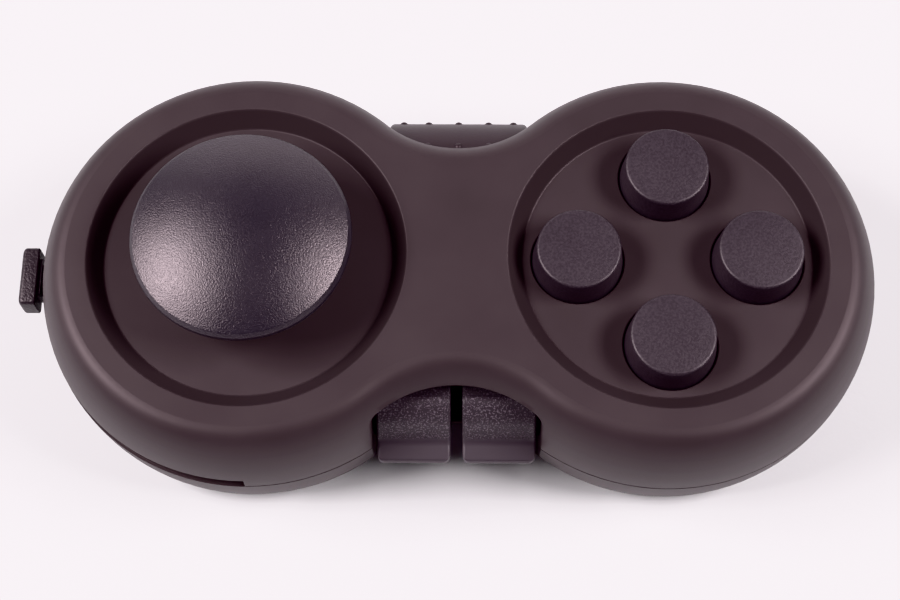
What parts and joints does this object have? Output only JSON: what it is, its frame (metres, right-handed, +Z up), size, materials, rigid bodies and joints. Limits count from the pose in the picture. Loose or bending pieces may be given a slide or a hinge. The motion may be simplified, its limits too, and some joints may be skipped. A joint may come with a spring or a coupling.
{
  "type": "fidget pad",
  "caption": "Hand-held two-lobed fidget pad with a tilting joystick, push buttons, a pair of spring triggers, a free-turning nubbed roller and a side slider.",
  "frame": {"origin": "centre of the flat underside, midway between the two lobes", "axes": "+X from the joystick lobe to the button lobe, -Y towards the triggers, +Z up out of the joystick and buttons"},
  "size_m": [0.0835, 0.0412, 0.0244],
  "materials": {
    "soft_touch_black": "soft-touch matt black",
    "black_rubber": "smooth matt black rubber",
    "button_black": "fine-grained satin black",
    "textured_black": "spark-textured black",
    "black_plastic": "moulded black",
    "natural_plastic": "natural moulded",
    "zinc_steel": "zinc plated",
    "spring_steel": "bright"
  },
  "bodies": {
    "housing": {"top_shell": "soft_touch_black", "bottom_shell": "soft_touch_black", "housing_screws": "zinc_steel", "joystick_frame": "black_plastic", "joystick_frame_screws": "zinc_steel", "joystick_spring": "spring_steel", "switch_plate": "natural_plastic", "switch_plate_screws": "zinc_steel", "trigger_pin": "zinc_steel", "trigger_spring_left": "spring_steel", "trigger_spring_right": "spring_steel", "roller_axle": "zinc_steel", "roller_washers": "zinc_steel", "snap_dome_right": "spring_steel", "snap_dome_back": "spring_steel", "snap_dome_left": "spring_steel", "snap_dome_front": "spring_steel"},
    "gimbal": {"gimbal_ring": "natural_plastic"},
    "stick": {"joystick_cap": "black_rubber", "joystick_stem": "black_plastic", "dust_dome": "black_plastic"},
    "slider": {"slider_lever": "black_plastic", "slider_knob": "textured_black"},
    "button_right": {"button_right": "button_black"},
    "button_back": {"button_back": "button_black"},
    "button_left": {"button_left": "button_black"},
    "button_front": {"button_front": "button_black"},
    "trigger_left": {"trigger_left": "textured_black"},
    "trigger_right": {"trigger_right": "textured_black"},
    "roller": {"roller_barrel": "textured_black"}
  },
  "joints": [
    {"name": "joystick_tilt_y", "type": "hinge", "parent": "housing", "child": "gimbal", "pos_m": [-0.02, 0, 0.01], "axis": [1, 0, 0], "range_deg": [-14, 14], "stiffness_Nm_per_rad": 0.012, "deforming": ["joystick_spring"]},
    {"name": "joystick_tilt_x", "type": "hinge", "parent": "gimbal", "child": "stick", "pos_m": [-0.02, 0, 0.01], "axis": [0, 1, 0], "range_deg": [-14, 14], "stiffness_Nm_per_rad": 0.012, "deforming": ["joystick_spring"]},
    {"name": "slider_swing", "type": "hinge", "parent": "housing", "child": "slider", "pos_m": [-0.02, 0, 0.0097], "axis": [0, 0, 1], "range_deg": [-82, 82]},
    {"name": "press_right", "type": "slide", "parent": "housing", "child": "button_right", "axis": [0, 0, -1], "range_m": [0, 0.0011], "stiffness_N_per_m": 150, "deforming": ["snap_dome_right"]},
    {"name": "press_back", "type": "slide", "parent": "housing", "child": "button_back", "axis": [0, 0, -1], "range_m": [0, 0.0011], "stiffness_N_per_m": 150, "deforming": ["snap_dome_back"]},
    {"name": "press_left", "type": "slide", "parent": "housing", "child": "button_left", "axis": [0, 0, -1], "range_m": [0, 0.0011], "stiffness_N_per_m": 150, "deforming": ["snap_dome_left"]},
    {"name": "press_front", "type": "slide", "parent": "housing", "child": "button_front", "axis": [0, 0, -1], "range_m": [0, 0.0011], "stiffness_N_per_m": 150, "deforming": ["snap_dome_front"]},
    {"name": "pull_left", "type": "hinge", "parent": "housing", "child": "trigger_left", "pos_m": [0, -0.01, 0.0124], "axis": [1, 0, 0], "range_deg": [0, 10], "stiffness_Nm_per_rad": 0.02, "deforming": ["trigger_spring_left"]},
    {"name": "pull_right", "type": "hinge", "parent": "housing", "child": "trigger_right", "pos_m": [0, -0.01, 0.0124], "axis": [1, 0, 0], "range_deg": [0, 10], "stiffness_Nm_per_rad": 0.02, "deforming": ["trigger_spring_right"]},
    {"name": "roller_spin", "type": "hinge", "parent": "housing", "child": "roller", "pos_m": [0, 0.01085, 0.0086], "axis": [1, 0, 0], "continuous": true}
  ]
}
